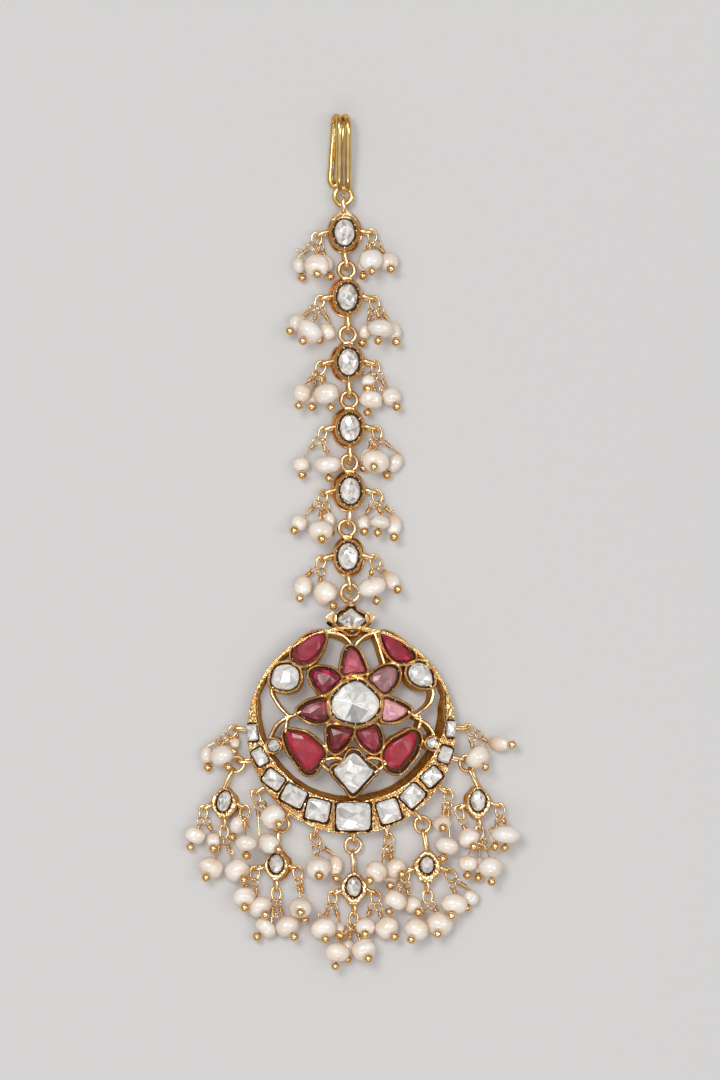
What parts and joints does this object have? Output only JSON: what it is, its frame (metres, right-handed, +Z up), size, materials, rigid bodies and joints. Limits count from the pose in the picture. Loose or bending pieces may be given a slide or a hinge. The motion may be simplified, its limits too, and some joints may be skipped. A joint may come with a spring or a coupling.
{
  "type": "maang tikka",
  "caption": "Head ornament: gold bezel links ending in a domed openwork pendant with a stone-set crescent, red petal stones and a fringe of pearl drops; a wire hook holds it in the hair.",
  "frame": {"origin": "middle of the footprint of the part as it lies on its back, on the surface", "axes": "+Y towards the hook, +Z up out of the stones' faces, +X to the right as seen from above"},
  "size_m": [0.0476, 0.1222, 0.0067],
  "materials": {
    "gold": "warm yellow gold, hand-made and polished, darkened in the recesses",
    "clear_stone": "flat-cut clear stone over foil, silvery white with broken facets",
    "red_stone": "polished raspberry to wine red stone over foil",
    "pearl": "uneven freshwater pearl, creamy white with a soft pink lustre, on gold head pins"
  },
  "bodies": {
    "root": {"hook": "gold", "link_1": "gold", "link_stone_1": "clear_stone", "link_pearls_1_left": "pearl", "link_pearls_1_right": "pearl", "link_2": "gold", "link_stone_2": "clear_stone", "link_pearls_2_left": "pearl", "link_pearls_2_right": "pearl", "link_3": "gold", "link_stone_3": "clear_stone", "link_pearls_3_left": "pearl", "link_pearls_3_right": "pearl", "link_4": "gold", "link_stone_4": "clear_stone", "link_pearls_4_left": "pearl", "link_pearls_4_right": "pearl", "link_5": "gold", "link_stone_5": "clear_stone", "link_pearls_5_left": "pearl", "link_pearls_5_right": "pearl", "link_6": "gold", "link_stone_6": "clear_stone", "link_pearls_6_left": "pearl", "link_pearls_6_right": "pearl", "pendant_frame": "gold", "petal_top": "red_stone", "petal_upper_right": "red_stone", "petal_right": "red_stone", "petal_lower_right": "red_stone", "petal_lower_left": "red_stone", "petal_left": "red_stone", "petal_upper_left": "red_stone", "leaf_upper_left": "red_stone", "leaf_upper_right": "red_stone", "leaf_lower_left": "red_stone", "leaf_lower_right": "red_stone", "pear_left": "clear_stone", "pear_right": "clear_stone", "center_stone": "clear_stone", "round_left": "clear_stone", "round_right": "clear_stone", "lozenge_bottom": "clear_stone", "lozenge_top": "clear_stone", "crescent_pearls_1": "pearl", "crescent_pearls_2": "pearl", "crescent_pearls_3": "pearl", "crescent_pearls_4": "pearl", "crescent_pearls_5": "pearl", "crescent_pearls_6": "pearl", "drop_1": "gold", "drop_stone_1": "clear_stone", "drop_2": "gold", "drop_stone_2": "clear_stone", "drop_3": "gold", "drop_stone_3": "clear_stone", "drop_4": "gold", "drop_stone_4": "clear_stone", "drop_5": "gold", "drop_stone_5": "clear_stone"}
  },
  "joints": []
}
